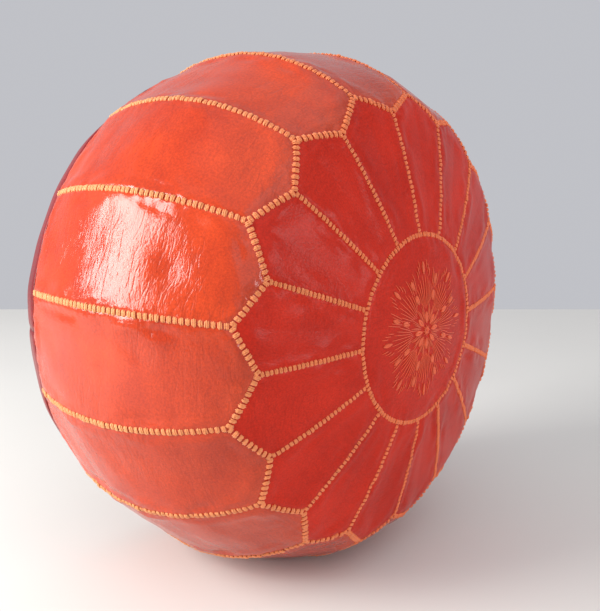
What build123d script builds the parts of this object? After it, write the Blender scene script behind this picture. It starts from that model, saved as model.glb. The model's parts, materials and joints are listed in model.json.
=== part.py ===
from build123d import *
import os
from math import cos, radians, sin

# Stuffed leather pouf lying on its side, in millimetres. +Z is up and the floor is z = 0.
# The pouf's own axis runs along X: the embroidered crown faces +X and the zipped base faces -X.
# A point of the cover is found from its normal angle: 0 at the middle of the crown, 90 at the
# widest ring and 180 on the flat base. The outline is a chain of tangent arcs between such angles.

# ---- driving dimensions: the stuffed shape --------------------------------------------------
diameter = 540
side_dent = 10            # how far the round side is pressed flat by the floor
crown_angle = 20.3        # the wide crown arc ends here and the tight shoulder arc starts
shoulder_angle = 52       # the shoulder ends here and the side starts
base_turn_angle = 118.5   # the side ends here and the tight turn to the base starts
shoulder_radius = 50
upper_side_radius = 205
lower_side_radius = 260
base_turn_radius = 30

# ---- driving dimensions: the cover ----------------------------------------------------------
panel_count = 16
first_seam_turn = 159.8   # turn of petal seam no. 0 round the axis, from +Y towards +Z
medallion_radius = 92
petal_seam_end = 24.0     # normal angle where a petal seam meets the zigzag seam
side_seam_end = 50.5      # normal angle where a side seam meets the zigzag seam
base_seam_angle = 113.1   # normal angle of the seam round the base
leather = 1.6
lining_thickness = 0.8
layer_gap = 0.2
seam_gap = 0.2
braid_width = 6.5
braid_height = 1.2
thread_gap = 0.05         # clearance between a thread and what it lies on
braid_end_gap = 0.3
relief_height = 0.6       # embroidery on the medallion
ray_width = 1.4
ray_start = 7
long_ray_end = 70
short_ray_end = 40
leaf_length = 15
leaf_width = 7

# ---- driving dimensions: the zip, with depths counted inwards from the base's outer face -----
zip_length = 300
slot_half_width = 8
slot_near_end = 165       # end of the slot beyond the closed slider, on +Y
slot_far_end = -185       # end of the slot that leaves room for the pull when the zip is open
lip_depth = 5.6
tape_depth = 5.8
tape_thickness = 0.8
tape_outer_edge = 17
tape_inner_edge = 3.0
tooth_pitch = 3.0
tooth_length = 1.6
tooth_height = 2.6
tooth_root = 4.2
tooth_tip = 0.7           # from the centre line, so that the slider's wedge runs between the rows
jaw_clearance = 0.05
stop_length = 3
channel_depth = 12
channel_half_width = 18.5
channel_end = 6           # how far the channel runs on past the slot at each end
slider_length = 18
slider_width = 12.6
slider_corner = 3
plate_thickness = 1.2
tooth_clearance = 0.2     # between the teeth and the slider's plates
flange_width = 1.2
flange_height = 0.7
wedge_length = 4
wedge_width = 0.9
ear_thickness = 2
ear_radius = 1.35
pivot_depth = 1.9
pivot_offset = 2          # from the slider's middle towards its front end
hole_radius = 0.7
pin_radius = 0.62
arm_thickness = 1.2
arm_gap = 0.25
arm_radius = 0.9
tab_start = 4             # distances from the pivot
tab_end = 34
tab_thickness = 1.2
tab_width = 9
tab_hole_radius = 1.5

# ---- derived dimensions ---------------------------------------------------------------------
radius = diameter / 2
axis_height = radius - side_dent
pitch = 360 / panel_count


def travel(start, arc_radius, from_angle, to_angle):
    """End of an arc that starts at a point and turns between two normal angles."""
    a, b = radians(from_angle), radians(to_angle)
    return (start[0] + arc_radius * (cos(b) - cos(a)), start[1] + arc_radius * (sin(b) - sin(a)))


widest = (0, radius)
shoulder_end = travel(widest, upper_side_radius, 90, shoulder_angle)
crown_end = travel(shoulder_end, shoulder_radius, shoulder_angle, crown_angle)
crown_radius = crown_end[1] / sin(radians(crown_angle))
crown_top = crown_end[0] + crown_radius * (1 - cos(radians(crown_angle)))
base_turn = travel(widest, lower_side_radius, 90, base_turn_angle)
base_edge = travel(base_turn, base_turn_radius, base_turn_angle, 180)

# X is counted from the middle of the height.
mid_height = (crown_top + base_edge[0]) / 2
base_x = base_edge[0] - mid_height

# each arc's radius, its first and last normal angle, and the point where it starts
outline_arcs = [
    (crown_radius, 0, crown_angle, (crown_top, 0)),
    (shoulder_radius, crown_angle, shoulder_angle, crown_end),
    (upper_side_radius, shoulder_angle, 90, shoulder_end),
    (lower_side_radius, 90, base_turn_angle, widest),
    (base_turn_radius, base_turn_angle, 180, base_turn),
]

centre = Vector(0, 0, axis_height)
section_plane = Plane(origin=centre, x_dir=(1, 0, 0), z_dir=(0, -1, 0))
pouf_axis = Axis((0, 0, axis_height), (1, 0, 0))


def surface_point(normal_angle):
    """X and distance from the pouf's axis of the cover's outer face at a normal angle."""
    for arc_radius, first, last, start in outline_arcs:
        if first <= normal_angle <= last:
            x, r = travel(start, arc_radius, first, normal_angle)
            return x - mid_height, r


def away(turn):
    """Unit vector away from the pouf's axis."""
    return Vector(0, cos(radians(turn)), sin(radians(turn)))


def onward(turn):
    """Unit vector round the pouf's axis, towards growing turn."""
    return Vector(0, -sin(radians(turn)), cos(radians(turn)))


def cover_point(normal_angle, turn):
    x, r = surface_point(normal_angle)
    return centre + Vector(x, 0, 0) + away(turn) * r


def half_space(point, direction, shift=0.0):
    """Plane that keeps what lies on the side its direction points to."""
    unit = direction.normalized()
    return Plane(origin=point + unit * shift, z_dir=unit)


def seam_turn(number):
    """Turn of a petal seam for a whole number, and of a side seam for a half."""
    return first_seam_turn - number * pitch


def zigzag_direction(number, side):
    """Towards the crown, square to the zigzag seam that leaves petal seam number on one side."""
    high = cover_point(petal_seam_end, seam_turn(number))
    low = cover_point(side_seam_end, seam_turn(number + side / 2))
    lean = radians((petal_seam_end + side_seam_end) / 2)
    outwards = Vector(cos(lean), 0, 0) + away(seam_turn(number + side / 4)) * sin(lean)
    square = (low - high).cross(outwards)
    return square if square.X > 0 else square * -1


def zigzag_side(number, side, towards_crown, shift):
    """Half space on one side of a zigzag seam, moved away from the seam by shift."""
    point = cover_point(petal_seam_end, seam_turn(number))
    return half_space(point, zigzag_direction(number, side) * towards_crown, shift)


def trimmed(solid, planes):
    """What is left of a solid on the kept side of every plane."""
    with BuildPart() as piece:
        add(solid)
        for plane in planes:
            split(bisect_by=plane, keep=Keep.TOP)
    return piece.part


def joined(solids):
    """Separate solids as one part."""
    with BuildPart() as group:
        add(solids)
    return group.part


def finished(part, name):
    """Label a piece and write it to its own file."""
    part.label = name
    export_step(part, f"parts/{name}.step")


def stuffed_body(inset, floor):
    """The whole pouf's shape, moved inwards by inset and flat at a height above the floor."""
    with BuildPart() as body:
        with BuildSketch(section_plane):
            with BuildLine():
                for arc_radius, first, last, start in outline_arcs:
                    x = start[0] - mid_height - arc_radius * cos(radians(first))
                    r = start[1] - arc_radius * sin(radians(first))
                    CenterArc((x, r), arc_radius - inset, first, last - first)
                flat_x, top_x = base_x + inset, crown_top - mid_height - inset
                Polyline((flat_x, base_edge[1]), (flat_x, 0), (top_x, 0))
            make_face()
        revolve(axis=pouf_axis)
        split(bisect_by=Plane.XY.offset(floor), keep=Keep.TOP)
    return body.part


def layer(outer_inset, inner_inset, outer_floor, inner_floor):
    """Skin between two insets, flat underneath between two heights."""
    outer = stuffed_body(outer_inset, outer_floor)
    inner = stuffed_body(inner_inset, inner_floor)
    with BuildPart() as skin:
        add(outer)
        add(inner, mode=Mode.SUBTRACT)
    return skin.part


def core_drill(solid, drill_radius, mode):
    """Keep or remove what lies within a distance of the pouf's axis, on the crown's side."""
    with BuildPart() as cored:
        add(solid)
        with BuildSketch(Plane(origin=centre, x_dir=(0, 1, 0), z_dir=(1, 0, 0))):
            Circle(drill_radius)
        extrude(amount=radius, mode=mode)
    return cored.part


def base_box(depths, across, up, mode=Mode.ADD):
    """Box on the base, from ranges of depth, of Y, and of height from the pouf's axis."""
    low = Vector(base_x + depths[0], across[0], axis_height + up[0])
    size = (depths[1] - depths[0], across[1] - across[0], up[1] - up[0])
    with Locations(low):
        Box(*size, align=(Align.MIN, Align.MIN, Align.MIN), mode=mode)


def band(seam_point, direction):
    """The two half spaces that leave one braid's width along a seam."""
    return [half_space(seam_point, direction * side, -braid_width / 2) for side in (1, -1)]


os.makedirs("parts", exist_ok=True)

# ---- leather cover: medallion, petals and side panels ---------------------------------------
leather_skin = layer(0, leather, 0, leather)
base_seam_x = surface_point(base_seam_angle)[0]
base_seam_point = centre + Vector(base_seam_x, 0, 0)
towards_crown = Vector(1, 0, 0)

finished(core_drill(leather_skin, medallion_radius - seam_gap / 2, Mode.INTERSECT), "medallion")

wall = trimmed(leather_skin, [half_space(base_seam_point, towards_crown, seam_gap / 2)])
wall = core_drill(wall, medallion_radius + seam_gap / 2, Mode.SUBTRACT)

for k in range(panel_count):
    petal = trimmed(wall, [
        half_space(centre, onward(seam_turn(k)) * -1, seam_gap / 2),
        half_space(centre, onward(seam_turn(k + 1)), seam_gap / 2),
        zigzag_side(k, 1, 1, seam_gap / 2),
        zigzag_side(k + 1, -1, 1, seam_gap / 2),
    ])
    finished(petal, f"petal_{k + 1:02d}")

    side_panel = trimmed(wall, [
        half_space(centre, onward(seam_turn(k - 0.5)) * -1, seam_gap / 2),
        half_space(centre, onward(seam_turn(k + 0.5)), seam_gap / 2),
        zigzag_side(k, 1, -1, seam_gap / 2),
        zigzag_side(k, -1, -1, seam_gap / 2),
    ])
    finished(side_panel, f"side_panel_{k + 1:02d}")

# ---- leather base: two halves with their edges turned in along the zip ----------------------
base_skin = trimmed(leather_skin, [half_space(base_seam_point, towards_crown * -1, seam_gap / 2)])
slot = (slot_far_end, slot_near_end)

for name, up in (("base_upper_half", 1), ("base_lower_half", -1)):
    half = trimmed(base_skin, [half_space(centre, Vector(0, 0, up), seam_gap / 2)])
    edge_range = sorted((up * slot_half_width, up * (slot_half_width + leather)))
    with BuildPart() as base_half:
        add(half)
        slot_range = (-slot_half_width, slot_half_width)
        base_box((-leather, 2 * leather), slot, slot_range, Mode.SUBTRACT)
        base_box((0, lip_depth), slot, edge_range)
    finished(base_half.part, name)

# ---- inside: cotton lining and stuffing, both open behind the zip ----------------------------
lining_inset = leather + layer_gap
lining_end = lining_inset + lining_thickness
stuffing_inset = lining_end + layer_gap
channel = ((-1, channel_depth), (slot_far_end - channel_end, slot_near_end + channel_end),
           (-channel_half_width, channel_half_width))

with BuildPart() as lining:
    add(layer(lining_inset, lining_end, lining_inset, lining_end))
    base_box(*channel, mode=Mode.SUBTRACT)
finished(lining.part, "cotton_lining")

with BuildPart() as stuffing:
    add(stuffed_body(stuffing_inset, stuffing_inset))
    base_box(*channel, mode=Mode.SUBTRACT)
finished(stuffing.part, "stuffing")

# ---- embroidered braids over the seams --------------------------------------------------------
braid_skin = layer(-thread_gap - braid_height, -thread_gap, 0, 0)
braid_skin = trimmed(braid_skin, [half_space(base_seam_point, towards_crown, braid_end_gap)])
clear_of_seam = braid_width / 2 + braid_end_gap
open_crown = core_drill(braid_skin, medallion_radius + clear_of_seam, Mode.SUBTRACT)

petal_braids, side_braids, zigzag_braids = [], [], []
for k in range(panel_count):
    petal_braids.append(trimmed(open_crown, [
        half_space(centre, away(seam_turn(k))),
        *band(centre, onward(seam_turn(k))),
        zigzag_side(k, 1, 1, clear_of_seam),
        zigzag_side(k, -1, 1, clear_of_seam),
    ]))
    side_braids.append(trimmed(open_crown, [
        half_space(centre, away(seam_turn(k + 0.5))),
        *band(centre, onward(seam_turn(k + 0.5))),
        zigzag_side(k, 1, -1, clear_of_seam),
        zigzag_side(k + 1, -1, -1, clear_of_seam),
    ]))
    for side in (1, -1):
        seam_point = cover_point(petal_seam_end, seam_turn(k))
        zigzag_braids.append(trimmed(open_crown, [
            half_space(centre, onward(seam_turn(k)) * -side, braid_end_gap / 2),
            half_space(centre, onward(seam_turn(k + side / 2)) * side, braid_end_gap / 2),
            *band(seam_point, zigzag_direction(k, side)),
        ]))

finished(joined(petal_braids), "petal_seam_braids")
finished(joined(side_braids), "side_seam_braids")
finished(joined(zigzag_braids), "zigzag_seam_braid")

ring_outside = core_drill(braid_skin, medallion_radius + braid_width / 2, Mode.INTERSECT)
ring = core_drill(ring_outside, medallion_radius - braid_width / 2, Mode.SUBTRACT)
finished(ring, "medallion_braid")

# ---- rosette embroidered on the medallion -----------------------------------------------------
relief_skin = layer(-thread_gap - relief_height, -thread_gap, 0, 0)
relief_skin = core_drill(relief_skin, medallion_radius, Mode.INTERSECT)
rosette = []
for k in range(panel_count):
    turn = k * pitch
    ray_end = short_ray_end if k % 2 else long_ray_end
    rosette.append(trimmed(relief_skin, [
        half_space(centre, away(turn), ray_start),
        half_space(centre, away(turn) * -1, -ray_end),
        half_space(centre, onward(turn), -ray_width / 2),
        half_space(centre, onward(turn) * -1, -ray_width / 2),
    ]))
    middle = centre + away(turn) * (ray_end + braid_end_gap + leaf_length / 2)
    leaf_sides = [away(turn) * (leaf_width * a) + onward(turn) * (leaf_length * b)
                  for a in (1, -1) for b in (1, -1)]
    reach = leaf_length * leaf_width / 2 / leaf_sides[0].length
    rosette.append(trimmed(relief_skin, [half_space(middle, side, -reach) for side in leaf_sides]))
finished(joined(rosette), "medallion_embroidery")

# ---- zip: tapes, teeth and stops -------------------------------------------------------------
tape_end = tape_depth + tape_thickness
tape_middle = tape_depth + tape_thickness / 2
teeth_depths = (tape_middle - tooth_height / 2, tape_middle + tooth_height / 2)
groove_depths = (tape_depth - jaw_clearance, tape_end + jaw_clearance)
tooth_count = int(zip_length / tooth_pitch)
closed_end = zip_length / 2


def clamps(up, places, length, root, tip):
    """Teeth or stops on one tape: blocks with a groove that holds the tape's edge."""
    with BuildPart() as row:
        for y in places:
            base_box(teeth_depths, (y, y + length), sorted((up * tip, up * root)))
        whole = (min(places) - 1, max(places) + length + 1)
        groove = sorted((up * (tape_inner_edge - jaw_clearance), up * (root + 1)))
        base_box(groove_depths, whole, groove, Mode.SUBTRACT)
    return row.part


for name, up, shift in (("upper", 1, 0), ("lower", -1, tooth_pitch / 2)):
    with BuildPart() as tape:
        base_box((tape_depth, tape_end), slot, sorted((up * tape_inner_edge, up * tape_outer_edge)))
    finished(tape.part, f"zip_tape_{name}")
    places = [shift - closed_end + n * tooth_pitch for n in range(tooth_count)]
    finished(clamps(up, places, tooth_length, tooth_root, tooth_tip), f"zip_teeth_{name}")

stop_root = tooth_root + 1
top_stops = [clamps(up, [closed_end + stop_length], stop_length, stop_root, tooth_tip)
             for up in (1, -1)]
finished(joined(top_stops), "zip_top_stops")

bottom_y = -closed_end - stop_length - 1
bottom_stop = [clamps(up, [bottom_y], stop_length, stop_root, 0) for up in (1, -1)]
finished(joined(bottom_stop), "zip_bottom_stop")

# ---- zip slider and pull, at the closed end ---------------------------------------------------
slider_y = closed_end - slider_length / 2
pivot_y = slider_y + pivot_offset
channel_inside = (teeth_depths[0] - tooth_clearance, teeth_depths[1] + tooth_clearance)
top_plate = channel_inside[0] - plate_thickness
rail = (slider_width / 2 - flange_width, slider_width / 2)
pull_plane = Plane(origin=(base_x, pivot_y, axis_height), x_dir=(0, -1, 0), z_dir=(1, 0, 0))
side_plane = Plane(origin=(base_x, pivot_y, axis_height), x_dir=(1, 0, 0), z_dir=(0, 0, 1))

with BuildPart() as slider:
    with BuildSketch(pull_plane.offset(top_plate), pull_plane.offset(channel_inside[1])):
        with Locations((pivot_offset, 0)):
            RectangleRounded(slider_length, slider_width, slider_corner)
    extrude(amount=plate_thickness)
    straight = (slider_y - slider_length / 2 + slider_corner, slider_y + slider_length / 2 - slider_corner)
    for up in (1, -1):
        across_rail = sorted((up * rail[0], up * rail[1]))
        base_box((channel_inside[0], channel_inside[0] + flange_height), straight, across_rail)
        base_box((channel_inside[1] - flange_height, channel_inside[1]), straight, across_rail)
    wedge = (slider_y + slider_length / 2 - wedge_length, slider_y + slider_length / 2)
    base_box(channel_inside, wedge, (-wedge_width / 2, wedge_width / 2))
    with BuildSketch(side_plane.offset(-ear_thickness / 2)):
        with BuildLine():
            CenterArc((pivot_depth, 0), ear_radius, 90, 180)
            Polyline((pivot_depth, -ear_radius), (top_plate, -2 * ear_radius),
                     (top_plate, 2 * ear_radius), (pivot_depth, ear_radius))
        make_face()
        with Locations((pivot_depth, 0)):
            Circle(hole_radius, mode=Mode.SUBTRACT)
    extrude(amount=ear_thickness)
finished(slider.part, "zip_slider")

arm_inner = ear_thickness / 2 + arm_gap
arm_outer = arm_inner + arm_thickness
with BuildPart() as pull:
    with BuildSketch(pull_plane.offset(pivot_depth - tab_thickness / 2)):
        with Locations(((tab_start + tab_end) / 2, 0)):
            SlotOverall(tab_end - tab_start, tab_width)
        with Locations((tab_end - tab_width / 2, 0)):
            Circle(tab_hole_radius, mode=Mode.SUBTRACT)
    extrude(amount=tab_thickness)
    for low in (arm_inner, -arm_outer):
        with BuildSketch(side_plane.offset(low)):
            with Locations((pivot_depth, 0)):
                Circle(arm_radius)
            with Locations((pivot_depth, -(tab_start + tab_width / 2) / 2)):
                Rectangle(2 * arm_radius, tab_start + tab_width / 2)
        extrude(amount=arm_thickness)
    with BuildSketch(side_plane.offset(-arm_outer)):
        with Locations((pivot_depth, 0)):
            Circle(pin_radius)
    extrude(amount=2 * arm_outer)
finished(pull.part, "zip_pull")
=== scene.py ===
# %% [markdown]
# # A stuffed leather pouf, sewn from petals and side panels
#
# The pouf lies on its side: its own axis runs along X, the embroidered crown faces +X and the
# zipped base faces -X. Everything is in metres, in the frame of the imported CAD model, which is
# loaded first and never changed. Each piece of leather is worked out with numpy as a function of
# two parameters, so neighbouring pieces meet exactly along their seams.

# %% Load the frame
import bpy
import json
import numpy as np
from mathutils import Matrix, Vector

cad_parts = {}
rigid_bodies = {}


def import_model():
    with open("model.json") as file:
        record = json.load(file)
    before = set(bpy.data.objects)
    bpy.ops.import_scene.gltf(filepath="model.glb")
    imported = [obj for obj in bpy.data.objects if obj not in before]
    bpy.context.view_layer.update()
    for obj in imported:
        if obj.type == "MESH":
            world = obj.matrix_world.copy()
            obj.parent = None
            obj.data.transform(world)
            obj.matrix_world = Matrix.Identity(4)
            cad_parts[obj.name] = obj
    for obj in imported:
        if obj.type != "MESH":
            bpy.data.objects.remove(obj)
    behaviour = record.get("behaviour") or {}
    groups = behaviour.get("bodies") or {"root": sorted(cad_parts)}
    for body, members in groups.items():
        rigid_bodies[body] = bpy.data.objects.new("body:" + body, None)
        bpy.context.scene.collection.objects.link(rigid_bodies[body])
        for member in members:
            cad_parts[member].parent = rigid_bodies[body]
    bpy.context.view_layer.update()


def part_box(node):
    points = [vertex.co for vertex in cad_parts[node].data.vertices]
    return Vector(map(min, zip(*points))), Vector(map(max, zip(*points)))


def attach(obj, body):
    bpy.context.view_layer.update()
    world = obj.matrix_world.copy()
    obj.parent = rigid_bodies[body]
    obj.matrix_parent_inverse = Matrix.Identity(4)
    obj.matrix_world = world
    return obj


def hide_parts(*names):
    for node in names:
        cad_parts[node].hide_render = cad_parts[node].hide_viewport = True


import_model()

# %% [markdown]
# ## The camera
#
# The pouf is seen from a little above and 40 degrees round from the front, so that the crown
# shows as an upright ellipse. The camera is a plain object on a line through the pouf's middle:
# its matrix is built from three unit vectors, which is easier to check than Euler angles.

# %% Camera
SIGHT_TURN, SIGHT_LIFT = np.radians(39.9), np.radians(11.7)
SIGHT_DISTANCE = 0.98
LENS_MM, SHIFT_UP = 53.9, 0.0054
medallion_low, medallion_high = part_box("medallion")
AXIS_Z = (medallion_low.z + medallion_high.z) / 2
TARGET = np.array([0.0013, 0.0, AXIS_Z])

sight = np.array([np.sin(SIGHT_TURN) * np.cos(SIGHT_LIFT), -np.cos(SIGHT_TURN) * np.cos(SIGHT_LIFT),
                  np.sin(SIGHT_LIFT)])
right = np.array([np.cos(SIGHT_TURN), np.sin(SIGHT_TURN), 0.0])
upward = np.cross(sight, right)
camera_data = bpy.data.cameras.new("camera")
camera_data.lens, camera_data.sensor_width, camera_data.shift_y = LENS_MM, 36.0, SHIFT_UP
camera = bpy.data.objects.new("camera", camera_data)
bpy.context.scene.collection.objects.link(camera)
pose = np.eye(4)
pose[:3, 0], pose[:3, 1], pose[:3, 2], pose[:3, 3] = right, upward, sight, TARGET + sight * SIGHT_DISTANCE
camera.matrix_world = pose.T.tolist()
bpy.context.scene.camera = camera
print("camera at", np.round(pose[:3, 3], 3))

# %% [markdown]
# ## The stuffed shape
#
# A packed pouf is nearly a body of revolution. Its outline is a chain of tangent arcs, and a
# point on it is named by its normal angle: 0 in the middle of the crown, 90 degrees at the widest
# ring and 180 on the flat base. Going by normal angle makes the outline smooth for free, because
# neighbouring arcs share a tangent wherever one stops and the next starts.

# %% The outline as arcs
RADIUS = 0.270
CROWN_X, BASE_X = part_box("medallion")[1].x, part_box("base_upper_half")[0].x
ARC_ANGLES = np.radians([0.0, 20.3, 52.0, 90.0, 118.5, 180.0])
ARC_RADII = np.array([0.0, 0.050, 0.205, 0.260, 0.030])
step_x = ARC_RADII * np.diff(np.cos(ARC_ANGLES))
step_r = ARC_RADII * np.diff(np.sin(ARC_ANGLES))
arc_r = np.zeros(6)
arc_r[3] = RADIUS
arc_r[2], arc_r[1] = RADIUS - step_r[2], RADIUS - step_r[2] - step_r[1]
arc_r[4], arc_r[5] = RADIUS + step_r[3], RADIUS + step_r[3] + step_r[4]
ARC_RADII[0] = arc_r[1] / np.sin(ARC_ANGLES[1])
step_x[0] = ARC_RADII[0] * (np.cos(ARC_ANGLES[1]) - 1)
arc_x = CROWN_X + np.concatenate([[0.0], np.cumsum(step_x)])
arc_length = np.concatenate([[0.0], np.cumsum(ARC_RADII * np.diff(ARC_ANGLES))])
print("outline ends at x", round(arc_x[-1], 4), "base at", round(BASE_X, 4), "radius", round(arc_r[-1], 4))


def outline(phi):
    """X and distance from the axis at a normal angle: start of its arc plus the arc's own swing."""
    arc = np.clip(np.searchsorted(ARC_ANGLES, phi, side="right") - 1, 0, len(ARC_RADII) - 1)
    swing = ARC_RADII[arc]
    x = arc_x[arc] + swing * (np.cos(phi) - np.cos(ARC_ANGLES[arc]))
    r = arc_r[arc] + swing * (np.sin(phi) - np.sin(ARC_ANGLES[arc]))
    return x, r


def along(phi):
    """Length along the outline from the middle of the crown: arc length is radius times angle."""
    return np.interp(phi, ARC_ANGLES, arc_length)


# %% [markdown]
# ## Where the seams run
#
# Sixteen petals surround the medallion and sixteen side panels follow, half a petal out of step.
# Petal seams run straight out to the high points of a zigzag seam, and side seams leave from its
# low points. Each stretch of the zigzag is cut by a plane square to the leather, as a straight
# line on a flat pattern would be.

# %% The seam pattern
PANELS = 16
PITCH = 2 * np.pi / PANELS
FIRST_SEAM = np.radians(159.8)
MEDALLION_R = 0.092
PETAL_END, SIDE_END, BASE_SEAM = np.radians([24.0, 50.5, 113.1])
MEDALLION_END = np.arcsin(MEDALLION_R / ARC_RADII[0])


def out(turn):
    """Unit vectors away from the pouf's axis, from a turn round it."""
    return np.stack([np.zeros_like(turn), np.cos(turn), np.sin(turn)], -1)


def zigzag_table(samples=40, fine=1600):
    """Normal angle of the zigzag from a high point to the next low point: for each turn, the
    place on the outline that lies in the plane through both points and square to the leather."""
    turns = np.linspace(0, PITCH / 2, samples)
    (xa, ra), (xb, rb) = outline(PETAL_END), outline(SIDE_END)
    high, low = np.array([xa, ra, 0.0]), np.array([xb, rb * np.cos(PITCH / 2), rb * np.sin(PITCH / 2)])
    lean = (PETAL_END + SIDE_END) / 2
    middle = np.array([np.cos(lean), np.sin(lean) * np.cos(PITCH / 4), np.sin(lean) * np.sin(PITCH / 4)])
    square = np.cross(low - high, middle)
    phi = np.linspace(PETAL_END - 0.05, SIDE_END + 0.05, fine)
    x, r = outline(phi)
    grid = np.stack([np.broadcast_to(x, (samples, fine)), np.outer(np.cos(turns), r),
                     np.outer(np.sin(turns), r)], -1)
    off_plane = np.abs((grid - high) @ square)
    return turns, phi[off_plane.argmin(1)]


ZIG_TURNS, ZIG_PHI = zigzag_table()


def to_seam(turn, half=0.0):
    """Signed angle to the nearest petal seam, or with half=0.5 to the nearest side seam."""
    number = (FIRST_SEAM - turn) / PITCH - half
    return (np.round(number) - number) * PITCH


HAND = np.random.default_rng(3)
HIGH_DRIFT = HAND.uniform(-0.001, 0.003, PANELS)
LOW_DRIFT = HAND.uniform(-0.002, 0.002, PANELS)
HIGH_DRIFT[[0, 1, PANELS - 3, PANELS - 2, PANELS - 1]] = [0.008, 0.002, 0.003, 0.005, 0.008]
LOW_DRIFT[PANELS - 1] = 0.006


def zigzag(turn):
    """Normal angle of the zigzag seam at a turn. The leather was cut by hand, so each high and low
    point drifts a few millimetres towards the crown, fading along the stretches beside it."""
    number = (FIRST_SEAM - turn) / PITCH
    beside_high = 1 - 2 * np.abs(number - np.round(number))
    high = HIGH_DRIFT[np.round(number).astype(int) % PANELS]
    low = LOW_DRIFT[np.floor(number).astype(int) % PANELS]
    drift = high * beside_high + low * (1 - beside_high)
    regular = np.interp(np.abs(to_seam(turn)), ZIG_TURNS, ZIG_PHI)
    return np.interp(along(regular) - drift, arc_length, ARC_ANGLES)


print("zigzag runs from", np.degrees(ZIG_PHI[0]).round(1), "to", np.degrees(ZIG_PHI[-1]).round(1))

# %% [markdown]
# ## How the leather sits on the stuffing
#
# Leather doesn't stretch like cloth. Between two seams it pulls nearly straight, so the seams
# stand out as soft ridges and each panel is a little flatter than the round body. Close to a
# seam it dives under the stitches and puckers, and loose stuffing leaves shallow dents. All of
# that is one displacement along the normal, made of smooth terms, so that every piece can use it.

# %% Displacement of the cover
dice = np.random.default_rng(16)
FLAT = 0.0034 + 0.0010 * dice.random(PANELS)
FLAT[[2, 3]] = 0.0075, 0.0050
PETAL_FLAT, EASE = 0.0030, 0.026
VALLEY, VALLEY_WIDTH = 0.0011, 0.0030
PUCKER, FOLD_RIDGE, DENTS = 0.00045, 0.0009, 0.0009
PETAL_LUMPS, SIDE_LUMPS = 0.00012, 0.00026
CRINKLE, CRINKLE_STRETCH = 0.00016, 0.3
FAR_AWAY = 1.0
SOFT_FLOOR, FLOOR_SINK, FLOOR_REACH = 0.004, 0.00035, 0.04


def waves(points, shortest, longest, count, seed):
    """Smooth random field from -1 to 1: a sum of plane waves with random directions and lengths."""
    random = np.random.default_rng(seed)
    direction = random.normal(size=(count, 3))
    direction /= np.linalg.norm(direction, axis=1, keepdims=True)
    length = np.exp(random.uniform(np.log(shortest), np.log(longest), count))
    phase = random.uniform(0, 2 * np.pi, count)
    field = np.sin(points @ (direction * (2 * np.pi / length)[:, None]).T + phase)
    return field.sum(-1) / np.sqrt(count)


def seam_distances(phi, turn):
    """Distances along the leather to the nearest radial seam, to the zigzag, and to the ring at the
    medallion or the base: a turn counts times the radius, a normal angle as outline length."""
    r = outline(phi)[1]
    on_petal = phi < zigzag(turn)
    radial = r * np.where(on_petal, np.abs(to_seam(turn)), np.abs(to_seam(turn, 0.5)))
    across = np.abs(along(phi) - along(zigzag(turn))) * 0.62
    ring = np.abs(along(phi) - along(MEDALLION_END))
    base = np.abs(along(phi) - along(BASE_SEAM))
    return radial, across, ring, base, on_petal


DENT_PLACES = np.radians([[67.0, 161.5], [49.0, 152.6], [41.0, 142.0], [72.0, 178.0], [33.0, 149.0]])
DENT_WIDTHS = np.array([0.015, 0.006, 0.012, 0.014, 0.012])
DENT_DEPTHS = np.array([0.0018, 0.0009, 0.0014, 0.0010, 0.0008])


def hand_dents(points):
    """Dents left by handling, each a bell of its own width and depth around a place on the cover."""
    x, r = outline(DENT_PLACES[:, 0])
    centres = out(DENT_PLACES[:, 1]) * r[:, None] + np.stack([x, 0 * x, 0 * x + AXIS_Z], -1)
    apart = np.linalg.norm(points[..., None, :] - centres, axis=-1)
    return (DENT_DEPTHS * np.exp(-(apart / DENT_WIDTHS) ** 2)).sum(-1)


def displacement(phi, turn, points):
    """How far the cover stands off the round body: panels pull flat by the product of soft steps
    away from each seam, seams sink by a narrow bell, and waves add dents and puckers."""
    radial, across, ring, base, on_petal = seam_distances(phi, turn)
    sewn = (phi > MEDALLION_END) & (phi < BASE_SEAM)
    number = np.round((FIRST_SEAM - turn) / PITCH).astype(int) % PANELS
    depth = np.where(on_petal, PETAL_FLAT, FLAT[number])
    ends = np.where(on_petal, np.tanh(ring / EASE), np.tanh(base / EASE))
    flat = depth * np.tanh(radial / EASE) * np.tanh(across / EASE) * ends
    flat = np.where(sewn, flat, 0.0)
    radial = np.where(sewn, radial, FAR_AWAY)
    across = np.where(sewn, across, FAR_AWAY)
    nearest = np.minimum(np.minimum(radial, across), np.minimum(ring, base))
    sink = sum(VALLEY * np.exp(-(d / VALLEY_WIDTH) ** 2) for d in (radial, across, ring, base))
    pucker = PUCKER * np.exp(-nearest / 0.007) * waves(points, 0.007, 0.016, 14, 5)
    fold = FOLD_RIDGE * np.exp(-((nearest - 0.011) / 0.006) ** 2) * waves(points, 0.03, 0.07, 10, 8)
    dents = DENTS * np.tanh(nearest / 0.02) * waves(points, 0.06, 0.16, 16, 3)
    ringwise = RADIUS * CRINKLE_STRETCH
    drawn = np.stack([along(phi), ringwise * np.cos(turn), ringwise * np.sin(turn)], -1)
    crinkle = CRINKLE * np.tanh(nearest / 0.015) * waves(drawn, 0.010, 0.028, 24, 21)
    crinkle = crinkle * (0.6 + 0.6 * waves(points, 0.08, 0.2, 8, 22)) * np.where(on_petal, 0.5, 1.0)
    lumps = np.where(on_petal, PETAL_LUMPS, SIDE_LUMPS) * np.tanh(nearest / 0.012)
    lumps = lumps * waves(points, 0.026, 0.055, 20, 31)
    swell = dents + lumps + pucker + fold + crinkle
    return swell - hand_dents(points) - flat - np.minimum(sink, VALLEY)


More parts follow.
